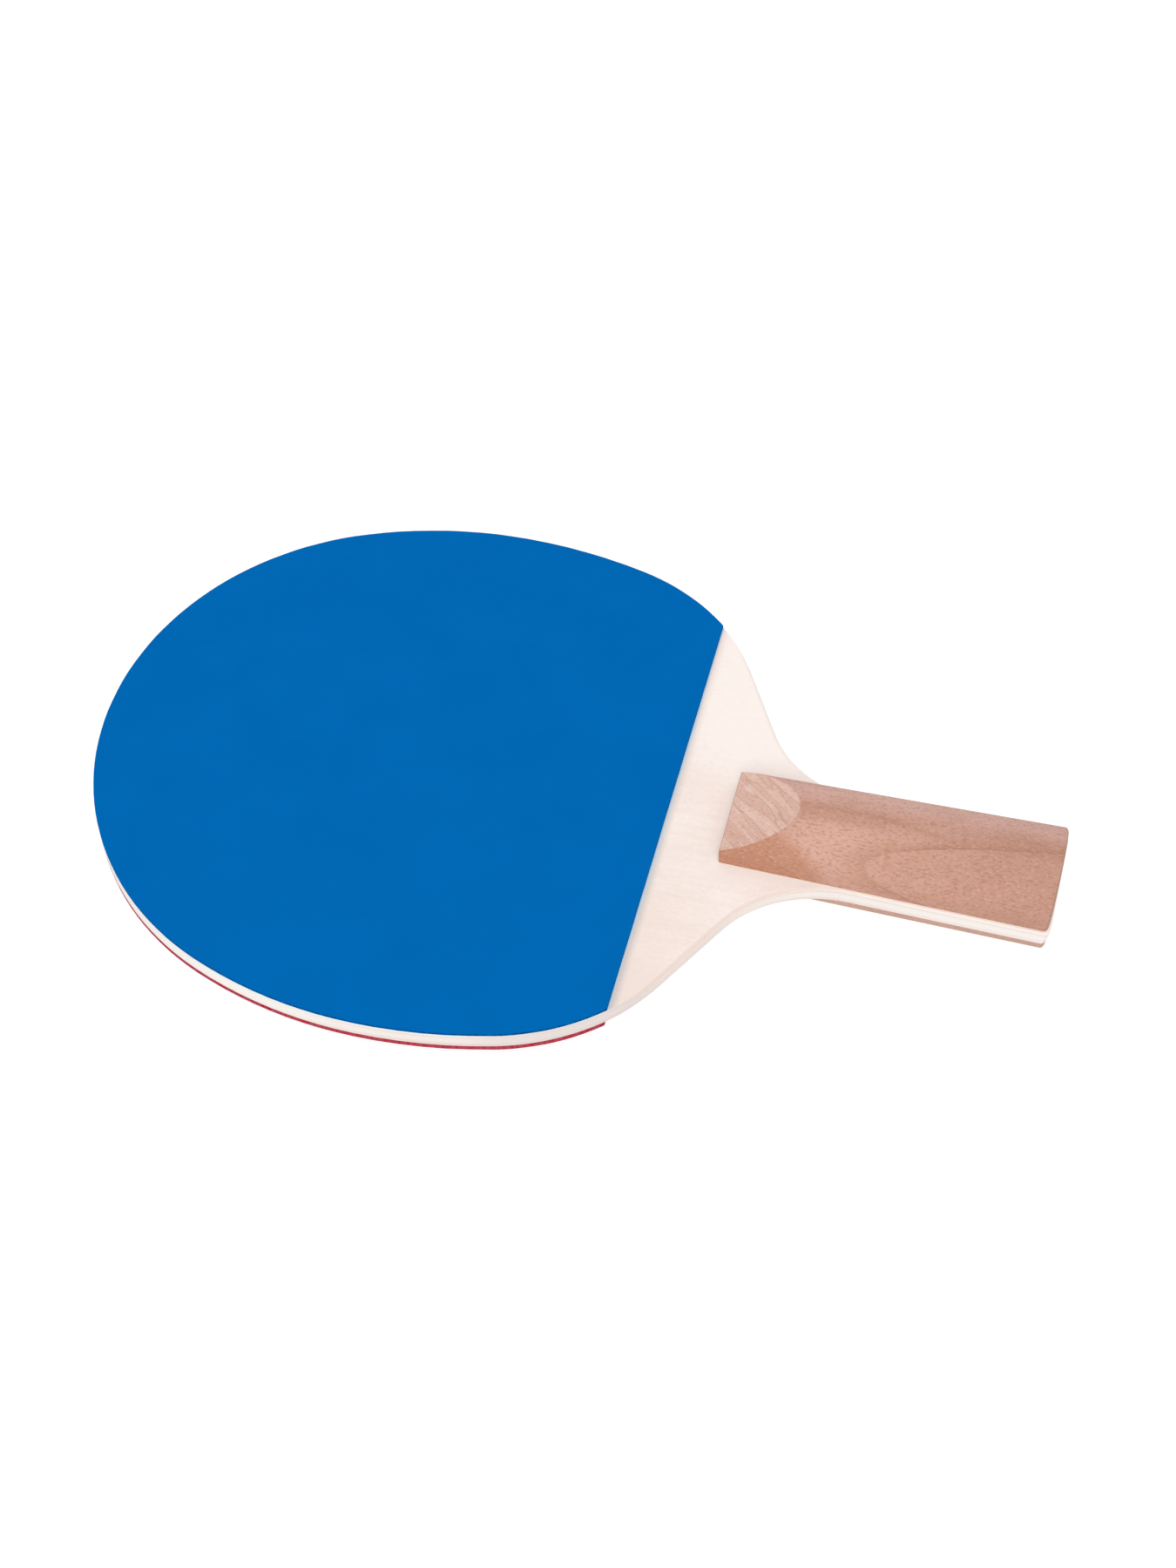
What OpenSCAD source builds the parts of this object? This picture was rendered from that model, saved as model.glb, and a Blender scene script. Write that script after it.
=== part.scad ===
// Table tennis bat: a plywood blade with a sheet of rubber glued to each side of its head
// and a wooden handle scale glued to each side of its tang.
// Millimetres. X runs from the toe to the butt, Y across the bat, and Z up from the lower
// scale's crown. The origin is under the middle of the bat.

/* [Head] */
// Width of the head at its widest place
head_w = 150; // [120:1:180]
// Distance from the toe to the widest place
widest_x = 85; // [68:1:104]
// How pointed the toe is: 0.1 is blunt, 0.5 is pointed
toe_point = 0.25; // [0.1:0.01:0.5]
// Distance from the toe to where the two straight shoulders would cross
shoulder_cross_x = 176; // [160:0.5:215]
// Angle between a straight shoulder and the long axis, in degrees
shoulder_angle = 60.5; // [50:0.5:70]
// Radius behind the widest place, as a multiple of the one arc that could round it alone
side_round = 1.5; // [1.1:0.05:2]
// Radius that leads into the straight shoulder, as a multiple of the same arc
shoulder_round = 0.66; // [0.4:0.02:0.9]
// Radius of the hollow between a shoulder and the tang
neck_r = 30; // [15:1:40]

/* [Blade] */
// Thickness of each face ply
face_ply_t = 0.55; // [0.4:0.05:1]
// Thickness of each cross ply under a face ply
cross_ply_t = 0.6; // [0.4:0.05:1]
// Thickness of the core ply in the middle
core_ply_t = 1.9; // [1:0.1:4]
// How far the tang stands out past the glued faces of the handle scales, at sides and butt
tang_proud = 0.7; // [0:0.1:1.5]

/* [Rubber sheets] */
// Distance from the toe to the straight cut across both sheets
sheet_cut_x = 140; // [125:1:152]
// Thickness of the blue sheet on the upper side
upper_sheet_t = 0.8; // [0.5:0.1:4]
// Thickness of the red sheet on the lower side
lower_sheet_t = 1.5; // [0.5:0.1:4]

/* [Handle scales] */
// Distance from the toe to the front of the handle scales
handle_x = 155; // [153:1:170]
// Length of the handle scales along the blade
handle_l = 77.5; // [60:0.5:110]
// Width of the handle scales at their front
scale_front_w = 24.4; // [20:0.2:34]
// Width of the handle scales at the butt
scale_butt_w = 27.6; // [20:0.2:36]
// Height of each scale's crown above the blade
scale_h = 10; // [9:0.5:13]
// Height of the straight part of the upper scale's sides
upper_side_h = 2.2; // [0.5:0.1:2.8]
// Height of the straight part of the lower scale's sides
lower_side_h = 0.8; // [0.5:0.1:2.8]
// Radius between a scale's sides and its crown
scale_corner_r = 6; // [3:0.5:6]
// Radius of the softened edge round the butt
butt_edge_r = 0.8; // [0.5:0.1:2.5]
// How far the butt's cut leans, so that the upper side is longer, in degrees
butt_lean = 4; // [0:0.5:8]
// Height of the upright front face below the bevel
bevel_start_h = 4.3; // [1:0.1:6]
// Length of the bevel along the crown
bevel_l = 16.6; // [8:0.2:30]

/* [Hidden] */

// Largest turn between two neighbouring points of an arc, in degrees
arc_step = 2.5;
// Thickness of the slices that are joined into a handle scale
slice_t = 0.01;
// Turn between two neighbouring slices of the softened edge round the butt, in degrees
butt_step = 22.5;
// Least length of each shoulder that stays straight in front of the hollow
least_straight = 0.5;

blade_t = core_ply_t + 2 * cross_ply_t + 2 * face_ply_t;
tang_end_x = handle_x + handle_l + tang_proud;
bat_l = max(tang_end_x, handle_x + handle_l + scale_h * tan(butt_lean));
mid_z = scale_h + blade_t / 2;
half_w = head_w / 2;

// Points along an arc from one angle up to, but not at, another
function arc(c, r, from, to) =
    let (steps = ceil(abs(to - from) / arc_step))
    [for (i = [0:steps - 1]) let (a = from + (to - from) * i / steps) c + r * [cos(a), sin(a)]];

// Half of the outline of the blade, as arcs that run on smoothly into each other.
// From the toe, two arcs lead to the widest place. Both radii follow from the two half
// widths of the oval that they belong to, so the arcs meet smoothly at any size.
toe_r = half_w - toe_point * (widest_x - half_w);
front_side_r = widest_x + (widest_x - half_w) / (2 * toe_point);
toe_turn = atan2(2 * toe_point + 1, (1 + toe_point) * 2 * toe_point);

// Two more arcs lead from there into the straight shoulder. The line along the widest place
// and the shoulder's line meet at a corner, which these arcs round.
shoulder_n = [sin(shoulder_angle), cos(shoulder_angle)];
shoulder_d = shoulder_cross_x * shoulder_n.x;
corner_x = (shoulder_d - half_w * shoulder_n.y) / shoulder_n.x;
one_arc_r = (corner_x - widest_x) / tan(shoulder_angle / 2);
rear_side_r = side_round * one_arc_r;
shoulder_r = shoulder_round * one_arc_r;
shoulder_turn = acos(
    (1 - shoulder_n.y + side_round * shoulder_n.y - shoulder_round)
    / (side_round - shoulder_round));
side_turn = shoulder_angle - shoulder_turn;
rear_side_c = [widest_x, half_w - rear_side_r];
shoulder_c = rear_side_c + (rear_side_r - shoulder_r) * [sin(side_turn), cos(side_turn)];

// A hollow leads from the shoulder into the side of the tang, which flares as the scales do.
// The tang's corners at the butt follow the softened corners of the scales.
flare = atan2((scale_butt_w - scale_front_w) / 2, handle_l);
tang_n = [-sin(flare), cos(flare)];
tang_d = tang_n * [handle_x, scale_front_w / 2] + tang_proud;
tang_corner_r = butt_edge_r + tang_proud;
tang_corner_x = tang_end_x - tang_corner_r;
tang_corner_c = [tang_corner_x, (tang_d - tang_corner_r - tang_n.x * tang_corner_x) / tang_n.y];

// Where the shoulder's line and the tang's side cross, once both have moved out by r
function neck_crossing(r) =
    [(shoulder_d + r) * tang_n.y - shoulder_n.y * (tang_d + r),
     shoulder_n.x * (tang_d + r) - tang_n.x * (shoulder_d + r)]
    / (shoulder_n.x * tang_n.y - shoulder_n.y * tang_n.x);

// The hollow's radius is limited by the length of the shoulder.
shoulder_end = shoulder_c + shoulder_r * shoulder_n;
neck_room = norm(neck_crossing(0) - shoulder_end) - least_straight;
neck_arc_r = min(neck_r, neck_room / tan((shoulder_angle + flare) / 2));
neck_c = neck_crossing(neck_arc_r);

half_outline = concat(
    arc([toe_r, 0], toe_r, 180, 180 - toe_turn),
    arc([widest_x, half_w - front_side_r], front_side_r, 180 - toe_turn, 90),
    arc(rear_side_c, rear_side_r, 90, 90 - side_turn),
    arc(shoulder_c, shoulder_r, 90 - side_turn, 90 - shoulder_angle),
    [shoulder_end],
    arc(neck_c, neck_arc_r, 270 - shoulder_angle, 270 + flare),
    [neck_c - neck_arc_r * tang_n],
    arc(tang_corner_c, tang_corner_r, 90 + flare, 0),
    [[tang_end_x, tang_corner_c.y]]);

// The other half runs back to the toe, whose point lies on the axis and is there only once.
other_half = [for (i = [len(half_outline) - 1:-1:1]) [half_outline[i].x, -half_outline[i].y]];

// A flat layer in the shape of the blade, its lower face z0 above the middle of the blade
module blade_layer(z0, t) translate([-bat_l / 2, 0, mid_z + z0])
    linear_extrude(t) polygon(concat(half_outline, other_half));

// The same, cut straight across in front of the neck
module sheet_layer(z0, t) intersection() {
    blade_layer(z0, t);
    translate([-bat_l, -head_w, 0])
        cube([bat_l / 2 + sheet_cut_x, 2 * head_w, 2 * mid_z]);
}

// A scale's cross section, standing on its glued face: straight sides, rounded corners and
// one crown arc, drawn in by inset all round except underneath
module scale_section(w, side_h, inset) {
    half = w / 2 - inset;
    rise = scale_h - side_h - inset;
    corner_r = scale_corner_r - inset;
    crown_r = ((half - corner_r) ^ 2 + rise ^ 2 - corner_r ^ 2) / (2 * (rise - corner_r));
    corner_c = [half - corner_r, side_h];
    crown_c = [0, side_h + rise - crown_r];
    side_end = atan2(corner_c.y - crown_c.y, corner_c.x);
    polygon(concat(
        [[-half, 0], [half, 0]],
        arc(corner_c, corner_r, 0, side_end),
        arc(crown_c, crown_r, side_end, 180 - side_end),
        arc([-corner_c.x, corner_c.y], corner_r, 180 - side_end, 180),
        [[-half, side_h]]));
}

// The section at a distance from the scale's front, as a thin slice whose top is moved on by
// slant times its height
module scale_slice(x, side_h, inset = 0, slant = 0) {
    w = scale_front_w + (scale_butt_w - scale_front_w) * x / handle_l;
    translate([x, 0, 0])
        multmatrix([[1, 0, slant, 0], [0, 1, 0, 0], [0, 0, 1, 0], [0, 0, 0, 1]])
            rotate([90, 0, 90]) linear_extrude(slice_t) scale_section(w, side_h, inset);
}

// One scale with its front on the origin and its glued face down
module scale_body(side_h, slant) difference() {
    hull() {
        scale_slice(0, side_h);
        for (a = [0:butt_step:90]) scale_slice(
            handle_l - slice_t - butt_edge_r * (1 - sin(a)), side_h,
            butt_edge_r * (1 - cos(a)), slant);
    }
    translate([0, 0, bevel_start_h])
        rotate([0, -atan2(scale_h - bevel_start_h, bevel_l), 0])
            translate([-scale_h, -scale_butt_w, 0])
                cube([bevel_l + 3 * scale_h, 2 * scale_butt_w, 2 * scale_h]);
}

// Puts a scale on the upper side of the tang (1) or on the lower side (-1)
module place_scale(side, side_h)
    translate([handle_x - bat_l / 2, 0, mid_z + side * blade_t / 2])
        mirror([0, 0, (1 - side) / 2]) scale_body(side_h, side * tan(butt_lean));

module core_ply() color("antiquewhite") blade_layer(-core_ply_t / 2, core_ply_t);

module upper_cross_ply() color("wheat") blade_layer(core_ply_t / 2, cross_ply_t);

module lower_cross_ply() color("wheat")
    blade_layer(-core_ply_t / 2 - cross_ply_t, cross_ply_t);

module upper_face_ply() color("linen")
    blade_layer(core_ply_t / 2 + cross_ply_t, face_ply_t);

module lower_face_ply() color("linen") blade_layer(-blade_t / 2, face_ply_t);

module upper_rubber_sheet() color("royalblue") sheet_layer(blade_t / 2, upper_sheet_t);

module lower_rubber_sheet() color("crimson")
    sheet_layer(-blade_t / 2 - lower_sheet_t, lower_sheet_t);

module upper_handle_scale() color("rosybrown") place_scale(1, upper_side_h);

module lower_handle_scale() color("rosybrown") place_scale(-1, lower_side_h);

core_ply();
upper_cross_ply();
lower_cross_ply();
upper_face_ply();
lower_face_ply();
upper_rubber_sheet();
lower_rubber_sheet();
upper_handle_scale();
lower_handle_scale();
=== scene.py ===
# %% [markdown]
# # A table tennis bat, finished in Blender
#
# The bat is glued up from nine pieces: five plies of thin wood, a sheet of rubber on each side
# of the head, and a wooden scale on each side of the handle. Their sizes and places come from a
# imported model, the frame, whose nodes are measured here and never moved. This script gives
# every piece its softened edges and its wood or rubber finish, and then sets up a floor, two
# lamps and a camera.

# %% Load the frame
import math

import bmesh
import bpy
from mathutils import Matrix, Quaternion, Vector, noise


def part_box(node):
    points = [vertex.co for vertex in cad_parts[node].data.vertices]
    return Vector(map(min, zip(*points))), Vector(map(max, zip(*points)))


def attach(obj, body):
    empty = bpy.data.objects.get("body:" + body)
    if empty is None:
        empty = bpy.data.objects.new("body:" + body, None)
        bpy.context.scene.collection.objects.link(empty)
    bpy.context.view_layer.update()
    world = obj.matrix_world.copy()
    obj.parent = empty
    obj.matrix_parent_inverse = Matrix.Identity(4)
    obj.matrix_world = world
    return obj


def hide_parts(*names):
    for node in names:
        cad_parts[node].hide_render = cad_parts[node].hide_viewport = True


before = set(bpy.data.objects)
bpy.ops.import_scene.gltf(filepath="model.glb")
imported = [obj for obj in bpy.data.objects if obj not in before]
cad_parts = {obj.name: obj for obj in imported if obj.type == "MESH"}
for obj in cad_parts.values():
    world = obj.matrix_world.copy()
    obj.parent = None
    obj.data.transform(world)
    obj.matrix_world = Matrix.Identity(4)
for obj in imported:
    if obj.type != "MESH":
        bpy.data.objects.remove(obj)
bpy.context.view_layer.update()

print("nodes in the frame:", ", ".join(sorted(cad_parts)))

# %% [markdown]
# ## Measure the bat
#
# Blender works in metres and a woodworker in millimetres, so a length is written as a number of
# millimetres times `MM`. X runs from the toe of the head to the butt of the handle, Y across,
# and Z up from the red side to the blue side.

# %% Read the places that matter
MM = 0.001

toe_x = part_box("core_ply")[0].x
butt_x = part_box("core_ply")[1].x
blade_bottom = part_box("lower_face_ply")[0].z
blade_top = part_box("upper_face_ply")[1].z
blade_middle = (blade_bottom + blade_top) / 2
sheet_end_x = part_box("upper_rubber_sheet")[1].x
scale_low, scale_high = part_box("upper_handle_scale")
FRONT_WIDTH = 24.4 * MM  # of a scale's front, because the box only gives the wider butt

print(f"blade {(butt_x - toe_x) / MM:.1f} mm long, {(blade_top - blade_bottom) / MM:.1f} mm thick")
print(f"sheets end {(sheet_end_x - toe_x) / MM:.1f} mm from the toe")

# %% [markdown]
# ## Write shader maths as Python
#
# A wood pattern is a sum: rings plus fibres plus pores. Built by hand, each plus sign is a node
# and two links. `Wire` wraps one output socket and overloads Python's operators, so that
# `1 - mask * 0.5` adds its own Math nodes. Colours and vectors can't go through a Math node,
# which would turn them grey, so they have Mix and Vector Math. Every other node comes from one
# method, `Finish.node`, which takes a node's type, its settings and what its sockets get.

# %% Wrap a socket
def pick(sockets, key):
    """The socket with that number, identifier or name."""
    if isinstance(key, int):
        return sockets[key]
    return next(s for s in sockets if key in (s.identifier, s.name))


class Wire:
    """One output of a node. Sums written with it add Math nodes to its material."""

    def __init__(self, finish, socket):
        self.finish = finish
        self.socket = socket

    def __add__(self, other):
        return self.finish.maths("ADD", self, other)

    def __radd__(self, other):
        return self.finish.maths("ADD", other, self)

    def __sub__(self, other):
        return self.finish.maths("SUBTRACT", self, other)

    def __rsub__(self, other):
        return self.finish.maths("SUBTRACT", other, self)

    def __mul__(self, other):
        return self.finish.maths("MULTIPLY", self, other)

    def __rmul__(self, other):
        return self.finish.maths("MULTIPLY", other, self)

    def __abs__(self):
        return self.finish.maths("ABSOLUTE", self)


# %% [markdown]
# ## Build a finish from nodes
#
# A `Finish` holds one material while it is built. Three ideas carry all the wood and rubber
# below. A point's place on the piece is read in millimetres, so that a size in a pattern can be
# compared with a ruler. Noise is stretched along the fibres, because wood is streaky and not
# cloudy. And a mark is a coat: a mask from 0 to 1 that says where it lies, and a tint. Coats go
# over each other in order, as varnish would.

# %% Build a material from wires
class Finish:
    """The nodes of a material or a world while they are put together."""

    def __init__(self, owner):
        self.owner = owner
        owner.use_nodes = True
        self.tree = owner.node_tree
        self.tree.nodes.clear()

    def node(self, kind, settings=None, values=None, out=0):
        """Adds a node, settings first, then numbers or links on its sockets."""
        node = self.tree.nodes.new(kind)
        for name, value in (settings or {}).items():
            setattr(node, name, value)
        for key, value in (values or {}).items():
            socket = pick(node.inputs, key)
            if isinstance(value, Wire):
                self.tree.links.new(value.socket, socket)
            else:
                socket.default_value = value
        return Wire(self, pick(node.outputs, out)) if node.outputs else None

    def maths(self, operation, *values):
        """A Math node on numbers and wires."""
        return self.node("ShaderNodeMath", {"operation": operation}, dict(enumerate(values)))

    def split(self, vector):
        """A vector's X, Y and Z."""
        parts = self.node("ShaderNodeSeparateXYZ", values={0: vector})
        return [Wire(self, socket) for socket in parts.socket.node.outputs]

    def place(self, centre):
        """Where a point lies on the piece, in millimetres from centre."""
        position = self.node("ShaderNodeTexCoord", out="Object")
        return self.node("ShaderNodeMapping", values={
            "Vector": position, "Location": [-c / MM for c in centre], "Scale": [1 / MM] * 3})

    def facing(self):
        """The surface's own direction, as X, Y and Z."""
        return self.split(self.node("ShaderNodeNewGeometry", out="Normal"))

    def stretched(self, vector, x, y, z):
        """A place for noise, which changes slowly along an axis that gets a small number."""
        return self.node(
            "ShaderNodeVectorMath", {"operation": "MULTIPLY"}, {0: vector, 1: (x, y, z)})

    def noise(self, vector, scale=1, detail=2, roughness=0.5):
        """Cloudy noise from 0 to 1, mostly near 0.5."""
        return self.node("ShaderNodeTexNoise", values={
            "Vector": vector, "Scale": scale, "Detail": detail, "Roughness": roughness})

    def rise(self, value, low, high):
        """0 up to low, 1 from high on, and a smooth slope between."""
        return self.node(
            "ShaderNodeMapRange", {"interpolation_type": "SMOOTHSTEP"},
            {"Value": value, "From Min": low, "From Max": high})

    def fall(self, value, low, high):
        """1 up to low, 0 from high on, and a smooth slope between."""
        return 1 - self.rise(value, low, high)

    def mix(self, mask, first, second):
        """The first colour where the mask is 0 and the second where it is 1."""
        return self.node(
            "ShaderNodeMix", {"data_type": "RGBA"},
            {"Factor_Float": mask, "A_Color": first, "B_Color": second}, out="Result_Color")

    def coated(self, colour, coats):
        """The colour under its coats. Each coat is a mask and a tint."""
        for mask, tint in coats:
            colour = self.mix(mask, colour, tint)
        return colour

    def looked_at(self):
        """1 where the camera looks, straight or by a reflection, and 0 for light given off."""
        path = self.node("ShaderNodeLightPath")
        camera, glossy, transmitted = [
            Wire(self, pick(path.socket.node.outputs, key))
            for key in ("Is Camera Ray", "Is Glossy Ray", "Is Transmission Ray")]
        return camera + glossy + transmitted

    def done(self, colour, roughness, height, depth, gloss):
        """Closes the material: height is a pattern from 0 to 1 that stands depth tall."""
        normal = self.node("ShaderNodeBump", values={"Height": height, "Distance": depth})
        surface = self.node("ShaderNodeBsdfPrincipled", values={
            "Base Color": colour, "Roughness": roughness,
            "Specular IOR Level": gloss, "Normal": normal})
        self.node("ShaderNodeOutputMaterial", values={"Surface": surface})
        print(f"{self.owner.name}: {len(self.tree.nodes)} nodes")
        return self.owner


def paint(red, green, blue):
    """A screen colour from 0 to 255 as the linear colour that shaders work in."""
    shares = [c / 255 for c in (red, green, blue)]
    return [s / 12.92 if s <= 0.04045 else ((s + 0.055) / 1.055) ** 2.4 for s in shares] + [1]


# %% [markdown]
# ## The rubber finish
#
# The sheets are plain moulded rubber: a flat, dense colour with hardly any shine, and a rim that
# the knife leaves rough. The rim's colour is painted light and shade: darker on the blue sheet as
# painted shade on its side wall, paler on the red one as painted light that lifts the shadow
# under the bat. A flat colour alone would look like plastic foil, so the face gets a cloudiness
# of a few steps of colour and a very fine leathery grain, and the rim gets the upright scratches
# of the knife. The rim is found by the direction it faces: its normal has almost no Z in it.

# %% Mix the rubbers
RUBBER_GLOSS = 0.006
RUBBER_GRAIN = 0.02 * MM


def rubber(name, pale, deep, cut):
    skin = Finish(bpy.data.materials.new(name))
    place = skin.place((0, 0, 0))
    clouds = skin.noise(place, scale=0.06, detail=3)
    grain = skin.noise(place, scale=2.6, detail=3, roughness=0.6)
    face = skin.mix(skin.rise(clouds * 0.7 + grain * 0.3, 0.35, 0.65), deep, pale)

    nz = skin.facing()[2]
    rim = skin.fall(abs(nz), 0.35, 0.75)
    scratches = skin.noise(skin.stretched(place, 1.4, 1.4, 0.35), detail=3, roughness=0.65)
    # The rim's colour is painted: painted shade on the blue sheet, painted light on the red one.
    painted_rim_tone = skin.mix(skin.rise(scratches, 0.35, 0.7), cut, deep)
    return skin.done(
        colour=skin.mix(rim, face, painted_rim_tone),
        roughness=0.5 + 0.12 * clouds + 0.2 * rim,
        height=grain * (1 - rim) + scratches * rim * 3,
        depth=RUBBER_GRAIN,
        gloss=RUBBER_GLOSS)


# Each sheet's last colour is its rim's tone: painted shade on blue, painted light on red.
blue_rubber = rubber("blue_rubber", paint(0, 105, 182), paint(0, 103, 179), paint(0, 70, 130))
red_rubber = rubber("red_rubber", paint(186, 31, 51), paint(182, 30, 50), paint(178, 82, 98))

# %% [markdown]
# ## Painted light, shade and glue on the blade
#
# The blade's colour changes in a few places, and most of it is painted light and shade. Beside
# the sheets' straight cut lies a painted shadow, grey on the near side and warm on the far side,
# and close to the cut a bluish film. Wood beside the scale is painted paler, as painted light
# that lifts the handle's shadow. The rim is painted paler at the toe, as light from the left
# would make it, and right under the blue sheet a cold white, as painted light that lifts the
# shadow under the sheet's edge. At the neck the rim is painted lighter, its shoulder gets
# painted shade, and its arris on the near side a darker line. Such marks could be painted on a
# picture of the blade, but a picture would have to be made for every ply. As coats that are
# worked out from a point's place they fit all of them. Places are in millimetres from the bat's
# middle, x along the bat and y across it.

# %% Mark the blade
# Painted shadow beside the sheets' cut: warm on the far side, grey on the near side.
FAR_CUT_SHADOW, NEAR_CUT_SHADOW = paint(236, 206, 186), paint(200, 194, 190)
GLUE_FILM = paint(208, 226, 238)
# Painted light that lifts the handle's shadow on the face beside the scale.
PAINTED_LIGHT_BY_SCALE = paint(255, 249, 242)
# Painted light on the rim: paler at the toe, and a cold white under the blue sheet's edge.
PAINTED_LIGHT_AT_TOE, PAINTED_LIGHT_UNDER_SHEET = paint(255, 252, 247), paint(236, 250, 255)
# Painted light on the neck's rim and painted shade on its shoulder.
PAINTED_LIGHT_AT_NECK, PAINTED_SHADE_AT_SHOULDER = paint(246, 230, 222), paint(214, 211, 214)
# A darker line along the near arris of the neck.
NEAR_ARRIS_LINE_WOOD = paint(228, 204, 192)
SHEET_END = sheet_end_x / MM


def face_marks(wood, x, y, rim):
    """Face coats: painted shadow and a bluish film by the sheets, painted light by the scales."""
    from_sheet = x - SHEET_END
    past_sheet = wood.rise(from_sheet, -0.2, 0) * (1 - rim)
    # A painted shadow beside the sheet's cut, greyer and stronger towards the near side.
    cut_shadow = past_sheet * wood.fall(from_sheet, 0.3, 2.6)
    toward_far_side = wood.rise(y, -30, 60)
    film_width = 0.35 * wood.fall(abs(y), 15, 55)
    film = past_sheet * wood.fall(from_sheet - film_width, 0.2, 0.6)
    from_scale = wood.maths("MAXIMUM", scale_low.x / MM - x, abs(y) - FRONT_WIDTH / 2 / MM)
    # Painted light beside the scale, where the handle casts shade on the face.
    light_by_scale = wood.fall(from_scale, 0, 3.2) * (1 - rim)
    return [
        (cut_shadow * (0.62 - 0.3 * toward_far_side), wood.mix(toward_far_side, NEAR_CUT_SHADOW, FAR_CUT_SHADOW)),
        (film * 0.8, GLUE_FILM),
        (light_by_scale, PAINTED_LIGHT_BY_SCALE)]


def rim_marks(wood, x, y, nz, rim, below_top):
    """The coats on the blade's rim, from the toe to the tang: painted light at the toe, under the
    blue sheet and at the neck, painted shade at the shoulder, and a dark line on the near arris.
    """
    # Painted light: the rim at the toe is painted paler, as light from the left would make it.
    toe = rim * wood.fall(x, -65, -15)
    # Painted light that lifts the shadow under the blue sheet's edge.
    light_under_sheet = rim * wood.fall(below_top, 0.35, 0.9) * wood.fall(x - SHEET_END, -0.5, 0.5)
    # Painted light on the neck's rim; its shoulder gets painted shade.
    neck = rim * wood.rise(x, -10, 5) * wood.fall(x, 38, 48)
    shoulder_shade = neck * wood.fall(x, 26, 36)
    arris = wood.rise(nz, 0.35, 0.65) * wood.fall(nz, 0.9, 0.99)
    # A darker line along the arris on the near side of the neck.
    sanded = arris * wood.rise(x, 24, 30) * wood.fall(x, 60, 75) * wood.fall(y, -5, 5)
    return [
        (toe * 0.8, PAINTED_LIGHT_AT_TOE),
        (light_under_sheet, PAINTED_LIGHT_UNDER_SHEET),
        (neck * 0.5, PAINTED_LIGHT_AT_NECK),
        (shoulder_shade * 0.3, PAINTED_SHADE_AT_SHOULDER),
        (sanded * 0.5, NEAR_ARRIS_LINE_WOOD)]


# %% [markdown]
# ## The blade's veneers
#
# The plies are peeled from a pale, even wood: a faint drift of cream and peach, a fine mottle,
# long soft fibres and short, hair-fine pores. Neighbouring plies cross: the fibres of the core
# and of the faces run along the bat, those of the two cross plies run across it. Where a ply's
# rim cuts its fibres the end grain shows, duller and speckled, and where it runs along them the
# rim is smooth. One function makes all five plies' finishes and is told which way the fibres
# run. A thin line of glue darkens each ply next to its neighbour.

# %% Lay the veneers
ALONG_FIBRES = 0.04  # how much slower the wood changes along its fibres than across them
VENEER_GRAIN = 0.03 * MM
GLUE_LINE = 0.12  # millimetres
WOOD_GLOSS = 0.2


def veneer(name, pale, warm, end, node, across=False):
    low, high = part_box(node)
    middle = (low.z + high.z) / 2
    wood = Finish(bpy.data.materials.new(name))
    place = wood.place((0, 0, middle))
    x, y, z = wood.split(place)
    nx, ny, nz = wood.facing()

    def along_fibres(scale, **noise_settings):
        stretch = (scale, scale * ALONG_FIBRES) if across else (scale * ALONG_FIBRES, scale)
        return wood.noise(wood.stretched(place, *stretch, scale), **noise_settings)

    bands = along_fibres(0.5, detail=3, roughness=0.55)
    fibres = along_fibres(4, detail=2, roughness=0.6)
    pores = wood.rise(along_fibres(7, detail=1), 0.66, 0.74)
    drift = wood.noise(place, scale=0.03)
    mottle = wood.noise(place, scale=1.3, roughness=0.7)
    speckle = wood.noise(place, scale=1.8, roughness=0.6)

    # Painted light that lifts the handle's shadow on the neck's far side; y * 0.002 also makes the
    # face paler towards the far side.
    far_side_light = wood.rise(x + y, 30, 90) * 0.2
    grain = drift * 0.5 + bands * 0.18 + fibres * 0.12 + mottle * 0.2
    tone = wood.rise(grain + y * 0.002 + far_side_light, 0.36, 0.64)
    rim = wood.fall(abs(nz), 0.3, 0.8)
    end_grain = rim * wood.rise(abs(ny if across else nx), 0.25, 0.8)
    half_thick = (high.z - low.z) / 2 / MM
    next_to_glue = wood.rise(abs(z), half_thick - GLUE_LINE, half_thick)
    glue_line = wood.fall(abs(nz), 0.7, 0.85) * next_to_glue
    below_top = (blade_top - middle) / MM - z
    colour = wood.coated(wood.mix(tone, warm, pale), [
        (pores * 0.25, end),
        (end_grain * wood.rise(speckle, 0.4, 0.65) * 0.15, end),
        (glue_line * 0.4, end),
        *face_marks(wood, x, y, rim),
        *rim_marks(wood, x, y, nz, rim, below_top)])
    return wood.done(
        colour=colour,
        roughness=0.58 + 0.12 * bands,
        height=fibres * 0.6 - pores * 0.5 + speckle * end_grain * 0.4,
        depth=VENEER_GRAIN,
        gloss=WOOD_GLOSS)


face_veneer, cross_veneer = {}, {}
for side in ("upper", "lower"):
    face_veneer[side] = veneer(
        f"{side}_face_veneer", paint(254, 243, 237), paint(244, 227, 218),
        paint(236, 208, 190), f"{side}_face_ply")
    cross_veneer[side] = veneer(
        f"{side}_cross_veneer", paint(250, 240, 233), paint(245, 229, 219),
        paint(234, 208, 190), f"{side}_cross_ply", across=True)
core_veneer = veneer(
    "core_veneer", paint(252, 245, 240), paint(249, 240, 234), paint(238, 220, 206), "core_ply")

# %% [markdown]
# ## The handle's growth rings
#
# The scales are sawn from a reddish hardwood. A tree adds a shell of wood each year, pale at
# first and then dark, and a saw cuts through the shells. On a face that runs along the log they
# come out as a long arch. An arch painted on a flat map would break at every edge, so the rings
# are worked out in space: they are bowls nested in each other, open towards the butt, whose
# bottom lies under the crown at the arch's tip. Two noises bend them, since no tree grows even.

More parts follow.
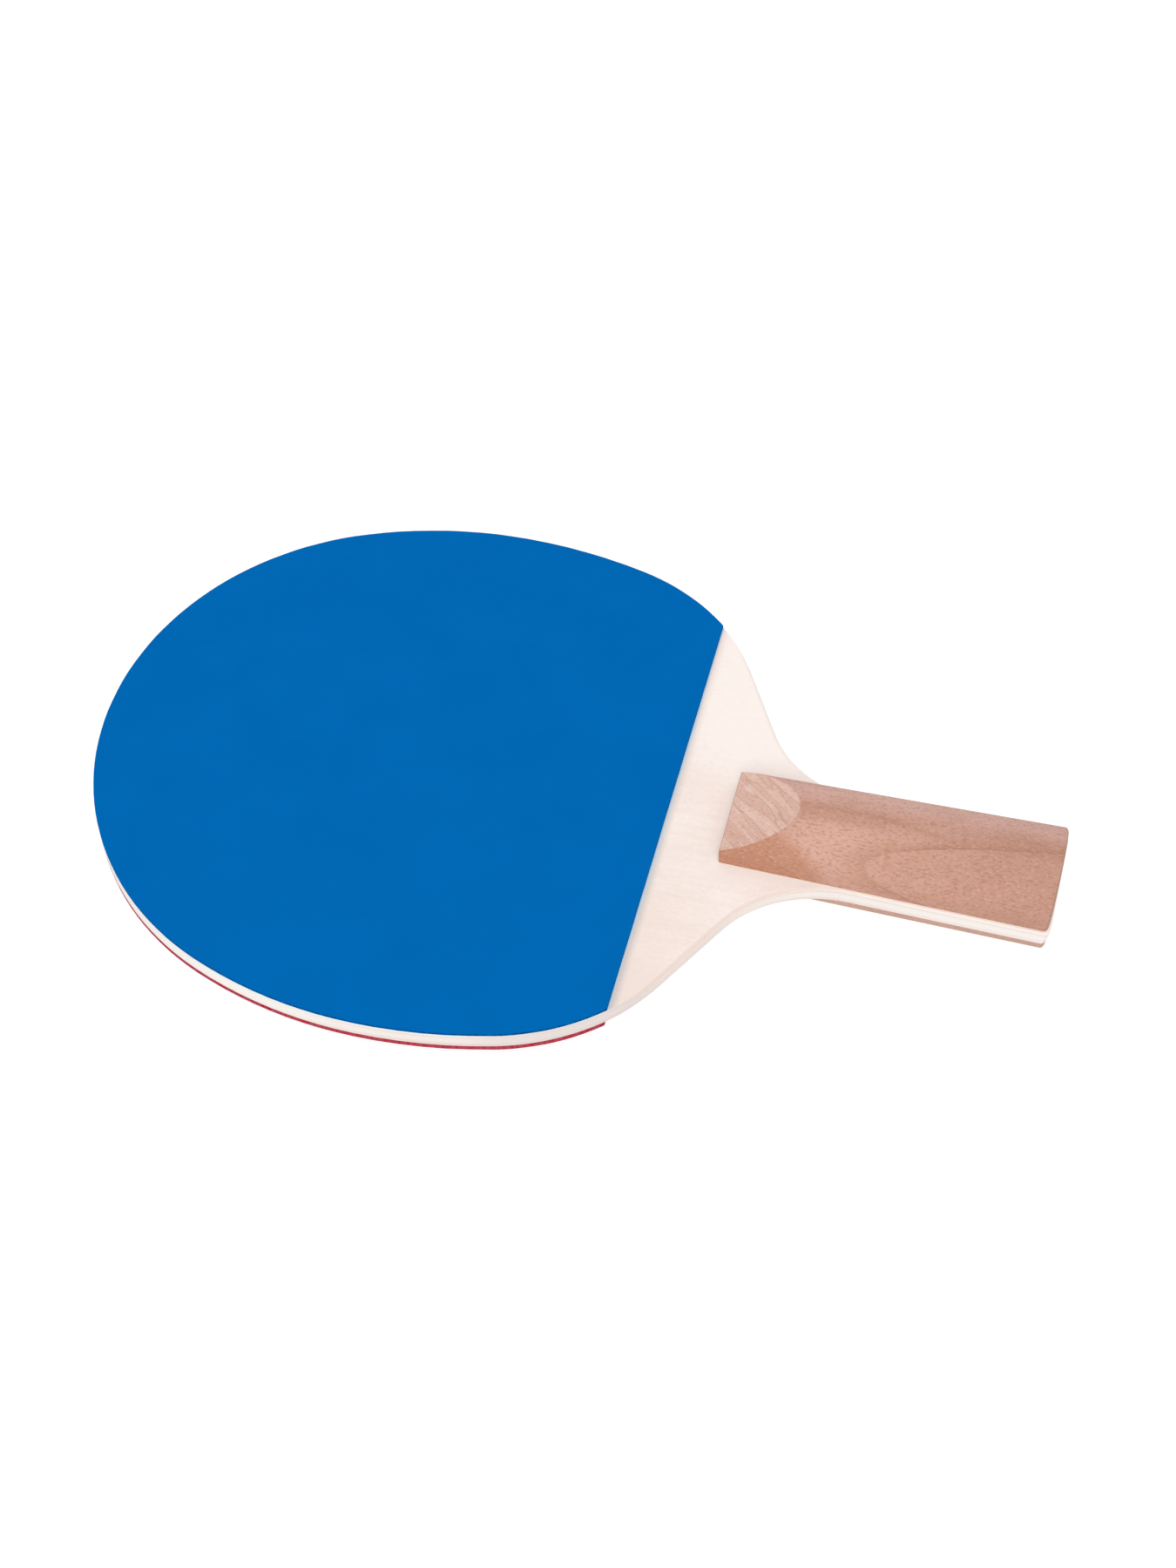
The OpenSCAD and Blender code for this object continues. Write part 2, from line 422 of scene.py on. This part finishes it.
# %% Grow the rings
ARCH_TIP = (73 * MM, -10.5 * MM)  # along the bat and across it
TIP_DEPTH = 3 * MM  # below the crown
ARCH_OPENING = 3.4
INNER_BOWL = 180  # square millimetres: keeps the root below real, deep inside the arch
WAVES, RIPPLES = 8, 4  # how far slow and quick noise bend the bowls
RING_GAP = 4  # millimetres


def growth_rings(wood, place, x, y, z, ripples):
    """How strongly the dark wood of a ring shows, from 0 to 1."""
    waves = wood.noise(wood.stretched(place, 0.06, 0.12, 0.12)) - 0.5
    bowl = y * y + z * z - x * ARCH_OPENING + waves * WAVES + ripples * RIPPLES
    radius = wood.maths("POWER", bowl + INNER_BOWL, 0.5) - math.sqrt(INNER_BOWL)
    ring = radius * (1 / RING_GAP)
    past_ring = (ring - wood.maths("FLOOR", ring)) * RING_GAP
    late_wood = wood.rise(past_ring, 0, 0.2) * wood.fall(past_ring, 0.15, 1.6)
    ring_line = wood.rise(past_ring, 0, 0.1) * wood.fall(past_ring, 0.12, 0.4)
    clear_ring = wood.fall(abs(ring), 0.25, 0.6) * (0.5 + 0.5 * wood.rise(x, 4, 16)) + 0.1
    return (late_wood * 0.5 + ring_line * 0.25) * clear_ring


# %% [markdown]
# ## The handle's changes of tone
#
# Between the rings the wood drifts from pinkish on the far side, where y is high, to brown on
# the near one. The brown is the wood's own and also painted shade of the near side, and the far
# edge is painted lighter as painted light. Some places stand out: a pale patch, darker bands
# along the handle, a warm corner at the front, darkened as painted shade of the near side too,
# and a fine dark streak. One big noise would give such changes too, but not where they are
# wanted. So they are coats again, in millimetres from the arch's tip.

# %% Tint the long faces
# The near side's brown is the wood's own tone and also painted shade.
FAR_WOOD, NEAR_WOOD_AND_SHADE = paint(220, 177, 168), paint(207, 155, 133)
CLOUD_WOOD, FIBRE_WOOD = paint(198, 148, 127), paint(211, 165, 148)
BUTT_WOOD = paint(187, 139, 120)
# The far edge's lighter tint is painted light.
PATCH_WOOD, FAR_EDGE_LIGHT = paint(228, 184, 166), paint(222, 182, 172)
# The warm corner's colour is the wood's own and also painted shade of the near side.
BAND_WOOD, CORNER_WOOD_AND_SHADE = paint(182, 132, 108), paint(190, 130, 100)
RING_WOOD = paint(176, 122, 98)


def long_face_marks(wood, x, y, clouds, fibres, rings, ripples):
    """The coats that make up the wood of the long faces."""
    patch = wood.rise(x, -26, -15) * wood.fall(x, -8, 6) * wood.fall(abs(y - 3), 3, 7)
    # Painted light: the handle's far edge is painted lighter.
    far_edge_light = wood.rise(y, 14, 20) * wood.rise(x, -26, -12)
    front_and_butt = wood.rise(x, -28, -18) * wood.fall(x, 0, 12) + wood.rise(x, 5, 25)
    band = wood.fall(abs(y - 11.5), 1, 4) * front_and_butt
    # A warm front corner on the near side, darkened as painted shade.
    warm_corner_and_shade = wood.fall(y, 0, 8) * wood.fall(x + y * 1.8, -18, -11)
    from_streak = abs(y - 12.3 + wood.rise(x, 0, 20) * 3 + ripples * 2)
    streak = wood.fall(from_streak, 0.1, 1.6) * wood.fall(x, 12, 24)
    return [
        (wood.fall(clouds, 0.35, 0.65) * 0.8, CLOUD_WOOD),
        (wood.rise(fibres, 0.35, 0.65) * 0.7, FIBRE_WOOD),
        (wood.rise(x, 0, 40) * 0.5, BUTT_WOOD),
        (patch * 0.45, PATCH_WOOD),
        (far_edge_light * 0.5, FAR_EDGE_LIGHT),
        (band * 0.35, BAND_WOOD),
        (warm_corner_and_shade * 0.72, CORNER_WOOD_AND_SHADE),
        (rings, RING_WOOD),
        (streak * 0.28, RING_WOOD)]


# %% [markdown]
# ## The rays on the bevel
#
# The bevel cuts the fibres almost across, and there the wood looks different: paler, with the
# tree's rays as slanting stripes and with light and dark veins between them. Its paleness is
# partly the cut fibres and partly painted light that stands for light from the left. A vein is
# where a noise passes through its middle value, which gives long, thin lines that never end
# abruptly. The rays are worked out in space too, so they run on round the bevel's broken edges.

# %% Draw the rays
RAY_LEAN = 0.31  # how far the rays lean across the bevel
RAY_DENSITY = 1.3  # about as many rays to a millimetre of depth
VEIN_DENSITY = 2.3  # veins to a ray
# The bevel's pale tint is partly cut fibres and partly painted light from the left.
BEVEL_WOOD_AND_LIGHT, RAY_WOOD = paint(228, 187, 171), paint(234, 200, 185)
DARK_VEIN, LIGHT_VEIN = paint(190, 143, 123), paint(242, 212, 195)


def bevel_marks(wood, x, y, z, side, bevel):
    """The coats of the front bevel."""
    rays = wood.node("ShaderNodeCombineXYZ", values={
        "X": (y * RAY_LEAN + z * side) * RAY_DENSITY, "Y": x * 0.07, "Z": y * 0.04})
    bands = wood.noise(rays, detail=1)
    veins = wood.noise(wood.stretched(rays, VEIN_DENSITY, 1, 1), detail=0)
    light_veins = wood.fall(abs(veins - 0.5), 0.005, 0.05) * wood.rise(bands, 0.4, 0.6)
    dark_veins = wood.fall(abs(bands - 0.5), 0.005, 0.04)
    return [
        (bevel * 0.8, BEVEL_WOOD_AND_LIGHT),
        (bevel * wood.rise(bands, 0.35, 0.65) * 0.6, RAY_WOOD),
        (bevel * dark_veins * 0.45, DARK_VEIN),
        (bevel * light_veins * 0.65, LIGHT_VEIN)]


# %% [markdown]
# ## The handle's wood
#
# The finish of a scale puts it all together: tones, rings and streak, the bevel's rays, and over
# everything fine dark pores and pale flecks. The bevel and the butt are found by the direction
# they face. The lower scale is the upper one's mirror image, as when a thick board is sawn in
# two and opened like a book, and it is a little more faded.

# %% Saw the scales' wood
PORE_WOOD, FLECK_WOOD = paint(172, 120, 99), paint(226, 186, 170)
END_WOOD, FADED_WOOD = paint(166, 130, 118), paint(214, 184, 172)
HANDLE_GRAIN = 0.05 * MM


def handle_wood(name, side, fade):
    """side is 1 for the upper scale and -1 for the lower one, whose crown looks down."""
    crown_z = scale_high.z if side > 0 else 0
    wood = Finish(bpy.data.materials.new(name))
    place = wood.place((*ARCH_TIP, crown_z - side * TIP_DEPTH))
    x, y, z = wood.split(place)
    nx, ny, nz = wood.facing()

    ripples = wood.noise(wood.stretched(place, 0.3, 0.5, 0.5)) - 0.5
    clouds = wood.noise(wood.stretched(place, 0.05, 0.16, 0.16), detail=3)
    fibres = wood.noise(wood.stretched(place, 0.5, 2.2, 2.2), detail=3, roughness=0.7)
    dark_spots = wood.noise(wood.stretched(place, 0.9, 2.4, 2.4), roughness=0.7)
    pores = wood.rise(dark_spots, 0.5, 0.68)
    flecks = wood.rise(wood.noise(wood.stretched(place, 1.1, 2, 2), scale=1.1), 0.5, 0.72)

    rings = growth_rings(wood, place, x, y, z, ripples)
    bevel = wood.rise(0 - nx, 0.12, 0.3) * wood.rise(abs(nz), 0.5, 0.8)
    # Brown towards the near side: partly the wood's tone and partly painted shade.
    colour = wood.coated(wood.mix(wood.fall(y, 3, 21), FAR_WOOD, NEAR_WOOD_AND_SHADE), [
        *long_face_marks(wood, x, y, clouds, fibres, rings, ripples),
        *bevel_marks(wood, x, y, z, side, bevel),
        (pores * (0.6 - bevel * 0.3), PORE_WOOD),
        (flecks * (0.35 - bevel * 0.1), FLECK_WOOD),
        (wood.rise(nx, 0.4, 0.9) * 0.5, END_WOOD),
        (fade, FADED_WOOD)])
    return wood.done(
        colour=colour,
        roughness=0.55 + 0.15 * fibres,
        height=fibres * 0.7 - pores * 0.8,
        depth=HANDLE_GRAIN,
        gloss=WOOD_GLOSS)


scale_wood = {
    "upper": handle_wood("upper_handle_wood", 1, 0.0),
    "lower": handle_wood("lower_handle_wood", -1, 0.4)}

# %% [markdown]
# ## Turn a CAD node into a piece with softened edges
#
# The frame's meshes are loose triangles with razor-sharp edges, and no sanded or cut edge is
# that sharp. A copy of the node is merged into a closed shape, its flat faces are made whole
# again, and then its edges are worked on. The copy keeps the true outline, so nothing has to
# be drawn twice.

# %% Copy a node and hand in a piece
WELD = 0.001 * MM
FLAT_ENOUGH = math.radians(0.3)
SHARP_EDGE = math.radians(35)


def merged_copy(node):
    """A bmesh of a CAD node, closed and with its flat faces whole."""
    bm = bmesh.new()
    bm.from_mesh(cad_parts[node].data)
    bmesh.ops.remove_doubles(bm, verts=bm.verts, dist=WELD)
    bmesh.ops.dissolve_limit(bm, angle_limit=FLAT_ENOUGH, verts=bm.verts, edges=bm.edges)
    return bm


def hand_in(bm, name, node, material):
    """Makes the shape a smooth-shaded piece of the bat that stands for a CAD node."""
    bmesh.ops.recalc_face_normals(bm, faces=bm.faces)
    mesh = bpy.data.meshes.new(name)
    bm.to_mesh(mesh)
    bm.free()
    mesh.shade_smooth()
    mesh.set_sharp_from_angle(angle=SHARP_EDGE)
    mesh.materials.append(material)
    piece = bpy.data.objects.new(name, mesh)
    bpy.context.scene.collection.objects.link(piece)
    flat_faces_stay_flat = piece.modifiers.new("flat_faces_stay_flat", "WEIGHTED_NORMAL")
    flat_faces_stay_flat.keep_sharp = True
    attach(piece, "root")
    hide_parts(node)
    print(f"{name}: {len(mesh.polygons)} faces")


# %% [markdown]
# ## Two hand tools
#
# Two tools do most of the work. `bisect_plane` is the saw: it cuts through everything it is
# given and can throw one side away. It leaves the shape open there, so the new edges are handed
# back to be filled. `bevel` is the sandpaper: it turns an edge into a few narrow faces. A Bevel
# modifier would do it to every edge, also to those that are glued, and here only some are meant.

# %% Saw and sand
def saw(bm, place, facing, throw_away=False):
    """Cuts by a plane whose front may be thrown away, and gives the new edges."""
    everything = bm.verts[:] + bm.edges[:] + bm.faces[:]
    cut = bmesh.ops.bisect_plane(
        bm, geom=everything, clear_outer=throw_away, plane_co=place, plane_no=facing)["geom_cut"]
    return [e for e in cut if isinstance(e, bmesh.types.BMEdge)]


def sand(bm, edges, width, segments):
    """Rounds edges over, as wide as width on both sides of each."""
    bmesh.ops.bevel(
        bm, geom=edges, offset=width, offset_type="OFFSET", affect="EDGES",
        segments=segments, profile=0.5, material=-1)


# %% [markdown]
# ## The plies
#
# On the head the blade's rim is trimmed square with the sheets. Behind them the maker rounds
# the shoulders and the hollow of the neck with sandpaper, because a hand closes round them, and
# only breaks the edge beside the handle. That rounding runs through the face ply into the ply
# below, so it can't be a bevel on one piece. Instead each ply's rim is cut into thin levels and
# every level is moved inwards by as much as a round edge would at that depth. The tang's end
# isn't square either: it leans, so the lower plies end a little sooner.

# %% Plan the sanding
NECK_ROUND = 1.4 * MM
TANG_ROUND = 0.3 * MM
HEAD_ROUND = 0.06 * MM
NECK_START_X = sheet_end_x + 1 * MM
NECK_FULL_X = sheet_end_x + 12 * MM
NECK_FADE_X = scale_low.x + 6 * MM
TANG_START_X = scale_low.x + 30 * MM


def smooth_share(value, low, high):
    """0 up to low, 1 from high on, and a smooth slope between."""
    share = min(max((value - low) / (high - low), 0), 1)
    return share * share * (3 - 2 * share)


def edge_round(x):
    """The radius of the blade's sanded edge at a place along the bat."""
    into_neck = smooth_share(x, NECK_START_X, NECK_FULL_X)
    into_tang = smooth_share(x, NECK_FADE_X, TANG_START_X)
    radius = HEAD_ROUND + (NECK_ROUND - HEAD_ROUND) * into_neck
    return radius + (TANG_ROUND - radius) * into_tang


for place_name, x in (("toe", toe_x), ("neck", NECK_FULL_X), ("butt", butt_x)):
    print(f"edge radius at the {place_name}: {edge_round(x) / MM:.2f} mm")

# %% Sand the blade's edge
LEVELS = [0.02, 0.06, 0.13, 0.25, 0.42, 0.65]  # shares of the neck's rounding
END_LEAN = math.radians(11)
LEANING_LENGTH = 3 * MM
UPRIGHT = 0.5  # a rim's face has less Z than this in its normal


def outward(vert):
    """The level direction in which a point of the rim faces."""
    sides = [face.normal for face in vert.link_faces if abs(face.normal.z) < UPRIGHT]
    return Vector((sum(n.x for n in sides), sum(n.y for n in sides), 0)).normalized()


def sand_edge(bm):
    """Rounds the rim of a ply as far as the blade's round edge reaches into it."""
    bm.normal_update()
    facings = {vert: outward(vert) for vert in bm.verts}
    for vert, facing in facings.items():
        radius = edge_round(vert.co.x)
        depth = (blade_top - blade_bottom) / 2 - abs(vert.co.z - blade_middle)
        if depth < radius:
            vert.co -= facing * (radius - math.sqrt(radius ** 2 - (radius - depth) ** 2))
        end_share = smooth_share(vert.co.x, butt_x - LEANING_LENGTH, butt_x)
        vert.co.x -= end_share * (blade_top - vert.co.z) * math.tan(END_LEAN)


def ply(node, material):
    bm = merged_copy(node)
    for share in LEVELS:
        for z in (blade_top - share * NECK_ROUND, blade_bottom + share * NECK_ROUND):
            saw(bm, (0, 0, z), (0, 0, 1))
    sand_edge(bm)
    hand_in(bm, f"{node}_sanded", node, material)


ply("core_ply", core_veneer)
for side in ("upper", "lower"):
    ply(f"{side}_cross_ply", cross_veneer[side])
    ply(f"{side}_face_ply", face_veneer[side])

# %% [markdown]
# ## The rubber sheets
#
# A sheet is glued on oversize and trimmed with a knife along the blade's edge, so its rim
# wanders by a few hundredths of a millimetre and its arris is soft. The rim's long edges are
# divided, a slow noise draws the rim in by that much, and a narrow bevel softens the outer
# arris. The red sheet's straight cut was made a little short of the blue one's, so its end is
# sawn off and closed again.

# %% Trim the sheets
RED_CUT_SHORT = 0.55 * MM
TRIM_STEP = 1.5 * MM
TRIM_DEPTH = 0.06 * MM
WANDERS_TO_A_METRE = 160
MEAN_TRIM = 0.3  # the share of TRIM_DEPTH that goes where the noise is 0
SHEET_ARRIS = 0.08 * MM
TINY = 0.01 * MM


def sheet(side, material, cut_short=0):
    node = f"{side}_rubber_sheet"
    bm = merged_copy(node)
    if cut_short:
        new_end = saw(bm, (sheet_end_x - cut_short, 0, 0), (1, 0, 0), throw_away=True)
        bmesh.ops.contextual_create(bm, geom=new_end)
    level = [e for e in bm.edges if abs(e.verts[0].co.z - e.verts[1].co.z) < TINY]
    for edge in level:
        cuts = int(edge.calc_length() / TRIM_STEP)
        if cuts:
            bmesh.ops.subdivide_edges(bm, edges=[edge], cuts=cuts)
    bm.normal_update()
    facings = {vert: outward(vert) for vert in bm.verts}
    for vert, facing in facings.items():
        wander = noise.noise(Vector((vert.co.x, vert.co.y, 0)) * WANDERS_TO_A_METRE)
        vert.co -= facing * TRIM_DEPTH * max(0, MEAN_TRIM + wander)
    outer_z = max((v.co.z for v in bm.verts), key=lambda z: abs(z - blade_middle))
    arris = [e for e in bm.edges if all(abs(v.co.z - outer_z) < TINY for v in e.verts)]
    sand(bm, arris, SHEET_ARRIS, segments=2)
    hand_in(bm, f"{node}_trimmed", node, material)


sheet("upper", blue_rubber)
sheet("lower", red_rubber, cut_short=RED_CUT_SHORT)

# %% [markdown]
# ## The handle scales
#
# A scale is shaped from a block: straight sides, a well rounded corner and a shallow crown, a
# little wider at the butt. Then a long bevel is planed on its front, the butt's edge is rounded
# over, and all sharp edges are broken with sandpaper. The section is drawn by spinning a point
# about the centres of its arcs, the block is an extrusion of it, and the bevel is one plane cut.

# %% Draw a scale's section
SIDE_HEIGHT = {"upper": 2.2 * MM, "lower": 0.8 * MM}
CORNER_ROUND = 6 * MM
CORNER_STEPS, CROWN_STEPS = 10, 24


def swung(bm, vert, y, z, turn, steps):
    """Draws an arc from vert about a centre at y, z and gives its last point."""
    made = bmesh.ops.spin(
        bm, geom=[vert], cent=(scale_low.x, y, z), axis=(1, 0, 0),
        angle=turn, steps=steps, use_merge=False)
    return next(v for v in made["geom_last"] if isinstance(v, bmesh.types.BMVert))


def scale_section(bm, side_height):
    """The section at the scale's front, as one face standing on the glued side."""
    half = FRONT_WIDTH / 2
    inner = half - CORNER_ROUND
    rise = scale_high.z - scale_low.z - side_height
    crown = (inner ** 2 + rise ** 2 - CORNER_ROUND ** 2) / (2 * (rise - CORNER_ROUND))
    corner_z = scale_low.z + side_height
    crown_z = corner_z + rise - crown
    corner_turn = math.atan2(corner_z - crown_z, inner)
    print(f"crown of radius {crown / MM:.1f} mm over sides {side_height / MM:.1f} mm high")

    start = bm.verts.new((scale_low.x, half, scale_low.z))
    raised = bmesh.ops.extrude_vert_indiv(bm, verts=[start])["verts"][0]
    raised.co.z = corner_z
    last = swung(bm, raised, inner, corner_z, corner_turn, CORNER_STEPS)
    last = swung(bm, last, 0, crown_z, math.pi - 2 * corner_turn, CROWN_STEPS)
    last = swung(bm, last, -inner, corner_z, corner_turn, CORNER_STEPS)
    end = bmesh.ops.extrude_vert_indiv(bm, verts=[last])["verts"][0]
    end.co.z = scale_low.z
    bm.edges.new((end, start))
    return bmesh.ops.contextual_create(bm, geom=bm.edges[:])["faces"][0]


# %% Shape the scales
GLUED_LENGTH = 77.5 * MM
BUTT_ROUND = 0.8 * MM
BUTT_LEAN = math.radians(4)
BUTT_CORNERS = 0.055  # the share of its width by which sanding draws the butt's end in
FRONT_HEIGHT = 4.3 * MM
BEVEL_LENGTH = 16.6 * MM
BROKEN_EDGE = 0.35 * MM


def above_glue(edge):
    return any(v.co.z > scale_low.z + TINY for v in edge.verts)


def block(side, lean):
    """The scale's block, lying on the upper side, with its butt leaning and rounded over."""
    bm = bmesh.new()
    front = scale_section(bm, SIDE_HEIGHT[side])
    made = bmesh.ops.extrude_face_region(bm, geom=[front], use_keep_orig=True)["geom"]
    butt = [v for v in made if isinstance(v, bmesh.types.BMVert)]
    butt_widening = (scale_high.y - scale_low.y) / FRONT_WIDTH
    bmesh.ops.translate(bm, verts=butt, vec=(GLUED_LENGTH, 0, 0))
    bmesh.ops.scale(bm, verts=butt, vec=(1, butt_widening, 1))
    slant = Matrix.Shear("XY", 3, (math.tan(lean), 0)).to_4x4()
    glue_level = Matrix.Translation((0, 0, -scale_low.z))
    bmesh.ops.transform(bm, verts=butt, matrix=slant, space=glue_level)
    bmesh.ops.recalc_face_normals(bm, faces=bm.faces)

    rim = [e for e in bm.edges if all(v in butt for v in e.verts) and above_glue(e)]
    sand(bm, rim, BUTT_ROUND, segments=5)
    for vert in bm.verts:
        end_x = scale_low.x + GLUED_LENGTH + (vert.co.z - scale_low.z) * math.tan(lean)
        past_round = max(0, 1 - (end_x - vert.co.x) / BUTT_ROUND)
        vert.co.y *= 1 - BUTT_CORNERS * past_round ** 2
    return bm


def plane_front(bm):
    """Planes the long bevel on the scale's front and breaks the edges around it."""
    slope = math.atan2(scale_high.z - scale_low.z - FRONT_HEIGHT, BEVEL_LENGTH)
    bevel_rim = saw(
        bm, (scale_low.x, 0, scale_low.z + FRONT_HEIGHT),
        (-math.sin(slope), 0, math.cos(slope)), throw_away=True)
    bmesh.ops.contextual_create(bm, geom=bevel_rim)
    nose = [e for e in bm.edges if above_glue(e) and e not in bevel_rim
            and all(v.co.x < scale_low.x + TINY for v in e.verts)]
    sand(bm, bevel_rim + nose, BROKEN_EDGE, segments=3)


# %% Hand in the scales
over_the_blade = Matrix.Translation((0, 0, 2 * blade_middle)) @ Matrix.Scale(-1, 4, (0, 0, 1))

for side, lean in (("upper", BUTT_LEAN), ("lower", -BUTT_LEAN)):
    bm = block(side, lean)
    plane_front(bm)
    if side == "lower":
        bmesh.ops.transform(bm, verts=bm.verts, matrix=over_the_blade)
    hand_in(bm, f"{side}_scale_sanded", f"{side}_handle_scale", scale_wood[side])

# %% [markdown]
# ## Floor
#
# The bat lies as it would on a table: the crown of its lower scale and the toe of its head
# touch, so it leans by about three degrees. The frame keeps the blade level, and so the floor
# leans instead. It is so big that its edges stay out of sight. Lamps could light it until it is
# white, but that much light would bleach the veneers. So it gives off a little light itself,
# which the camera sees stronger than the bat does: it comes out white and still shows the bat's
# shadow. From below it lets light through, so that the underside of the bat can be looked at.

# %% Lay the floor
FLOOR_SIZE = 6
FLOOR_GREY = 0.4
GLOW_ON_BAT = 0.4
GLOW_SEEN = 0.8
CLEARANCE = 0.1 * MM
touch_x = scale_low.x + BEVEL_LENGTH
floor_lean = math.atan2(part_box("lower_rubber_sheet")[0].z, touch_x - toe_x)

bm = bmesh.new()
bmesh.ops.create_grid(bm, x_segments=1, y_segments=1, size=FLOOR_SIZE / 2)
leaning = Matrix.Rotation(floor_lean, 3, "Y")
bmesh.ops.rotate(bm, verts=bm.verts, cent=(0, 0, 0), matrix=leaning)
bmesh.ops.translate(bm, verts=bm.verts, vec=(touch_x, 0, -CLEARANCE))
floor_mesh = bpy.data.meshes.new("floor")
bm.to_mesh(floor_mesh)
bm.free()
floor = bpy.data.objects.new("floor", floor_mesh)
bpy.context.scene.collection.objects.link(floor)

ground = Finish(bpy.data.materials.new("white_floor"))
from_below = ground.node("ShaderNodeNewGeometry", out="Backfacing")
paper = ground.node("ShaderNodeBsdfDiffuse", values={"Color": [FLOOR_GREY] * 3 + [1]})
glow = ground.node("ShaderNodeEmission", values={
    "Strength": GLOW_ON_BAT + (GLOW_SEEN - GLOW_ON_BAT) * ground.looked_at()})
lit = ground.node("ShaderNodeAddShader", values={0: paper, 1: glow})
clear = ground.node("ShaderNodeBsdfTransparent")
surface = ground.node("ShaderNodeMixShader", values={0: from_below, 1: lit, 2: clear})
ground.node("ShaderNodeOutputMaterial", values={"Surface": surface})
floor_mesh.materials.append(ground.owner)
print(f"floor leans {math.degrees(floor_lean):.2f} degrees")

# %% [markdown]
# ## Light
#
# Soft light from all round comes from the world, and two large square lamps give the handle its
# shape: a strong one in front of the bat and a weak one behind it, which lifts the far side.
# Together they light a level surface so that a colour comes out about as it is written. The
# camera sees the world as plain white.

# %% Hang the lamps
WORLD_LIGHT = 0.66
LAMP_SIZE = 2.2

world = bpy.data.worlds.new("studio")
bpy.context.scene.world = world
sky = Finish(world)
backdrop = sky.node("ShaderNodeBackground", values={
    "Color": (1, 1, 1, 1), "Strength": WORLD_LIGHT + (1 - WORLD_LIGHT) * sky.looked_at()})
sky.node("ShaderNodeOutputWorld", values={"Surface": backdrop})


def lamp(name, place, watts):
    """Hangs a square lamp that shines on the bat's middle, where X, Y and Z are 0."""
    light = bpy.data.lights.new(name, "AREA")
    light.shape = "SQUARE"
    light.size = LAMP_SIZE
    light.energy = watts
    holder = bpy.data.objects.new(name, light)
    holder.location = place
    holder.rotation_mode = "QUATERNION"
    holder.rotation_quaternion = (-Vector(place)).to_track_quat("-Z", "Y")
    bpy.context.scene.collection.objects.link(holder)
    print(f"{name}: {watts} W, {Vector(place).length:.2f} m away")


lamp("front_lamp", place=(0.35, -2, 2.3), watts=39.5)
lamp("back_lamp", place=(0.4, 1.9, 2.0), watts=8)

# %% [markdown]
# ## Camera
#
# The camera stands to the right of the bat's middle and looks down on it over the long side. A
# 66 mm lens keeps the perspective gentle, and the camera is rolled a little, so it gets its
# turn from the line of sight first and its roll about that line after.

# %% Place the camera
CAMERA_PLACE = Vector((120.96, -397.08, 558.36)) * MM
CAMERA_AIM = Vector((3.23, 2.32, 15)) * MM
CAMERA_ROLL = math.radians(-2.28)
LENS = 66  # millimetres, on a sensor of the usual width
SENSOR = 36

line_of_sight = CAMERA_AIM - CAMERA_PLACE
camera_data = bpy.data.cameras.new("camera")
camera_data.lens = LENS
camera_data.sensor_width = SENSOR
camera = bpy.data.objects.new("camera", camera_data)
camera.location = CAMERA_PLACE
camera.rotation_mode = "QUATERNION"
camera.rotation_quaternion = (
    line_of_sight.to_track_quat("-Z", "Y") @ Quaternion((0, 0, 1), CAMERA_ROLL))
bpy.context.scene.collection.objects.link(camera)
bpy.context.scene.camera = camera
bpy.context.scene.view_settings.view_transform = "Standard"
print(f"camera {line_of_sight.length:.2f} m from what it looks at")
